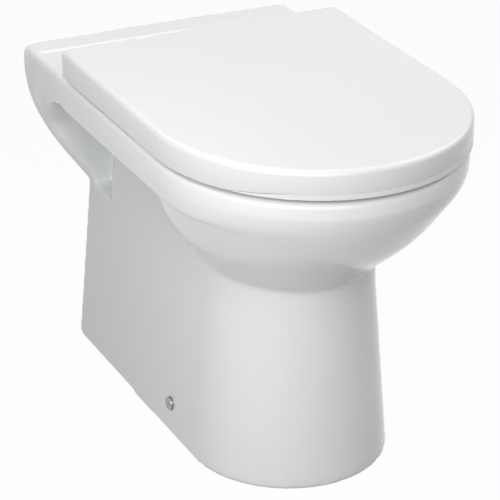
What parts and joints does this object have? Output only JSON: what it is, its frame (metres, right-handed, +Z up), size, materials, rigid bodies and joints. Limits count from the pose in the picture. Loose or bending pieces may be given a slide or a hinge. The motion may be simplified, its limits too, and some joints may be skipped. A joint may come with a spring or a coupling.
{
  "type": "floor-standing toilet",
  "caption": "White floor-standing toilet whose foot runs back to the wall, with an oval bowl, a hinged seat ring, an overlapping lid and chrome caps over the side fixings.",
  "frame": {"origin": "on the floor, under the middle of the whole object's box", "axes": "+Y points to the wall behind the toilet, -Y to its front, +Z up, +X to the right of someone who faces the wall"},
  "size_m": [0.36, 0.6, 0.441],
  "materials": {
    "sanitary_ceramic": "glossy white glaze",
    "white_seat_plastic": "polished white thermoset",
    "cap_chrome": "polished chrome plate",
    "fastener_steel": "plain stainless steel",
    "bracket_steel": "zinc-plated steel",
    "black_rubber": "matte black rubber",
    "pale_buffer_rubber": "soft pale rubber",
    "white_nylon": "moulded nylon"
  },
  "bodies": {
    "pan_body": {"pan": "sanitary_ceramic", "inlet_seal": "black_rubber", "left_hinge_post": "white_nylon", "right_hinge_post": "white_nylon", "left_hinge_pin": "fastener_steel", "right_hinge_pin": "fastener_steel", "left_hinge_gasket": "black_rubber", "right_hinge_gasket": "black_rubber", "left_deck_bush": "black_rubber", "right_deck_bush": "black_rubber", "hinge_studs": "fastener_steel", "stud_washers": "fastener_steel", "wing_nuts": "white_nylon", "left_floor_bracket": "bracket_steel", "right_floor_bracket": "bracket_steel", "side_screws": "fastener_steel", "screw_sleeves": "white_nylon", "left_screw_cap": "cap_chrome", "right_screw_cap": "cap_chrome"},
    "seat_body": {"seat_ring": "white_seat_plastic", "seat_buffers": "pale_buffer_rubber", "seat_hinge_bushes": "white_nylon"},
    "lid_body": {"lid": "white_seat_plastic", "lid_buffers": "pale_buffer_rubber", "lid_hinge_bushes": "white_nylon"}
  },
  "joints": [
    {"name": "seat_hinge", "type": "hinge", "parent": "pan_body", "child": "seat_body", "pos_m": [0, 0.164, 0.433], "axis": [-1, 0, 0], "range_deg": [0, 94]},
    {"name": "lid_hinge", "type": "hinge", "parent": "seat_body", "child": "lid_body", "pos_m": [0, 0.164, 0.433], "axis": [-1, 0, 0], "range_deg": [0, 92]}
  ]
}
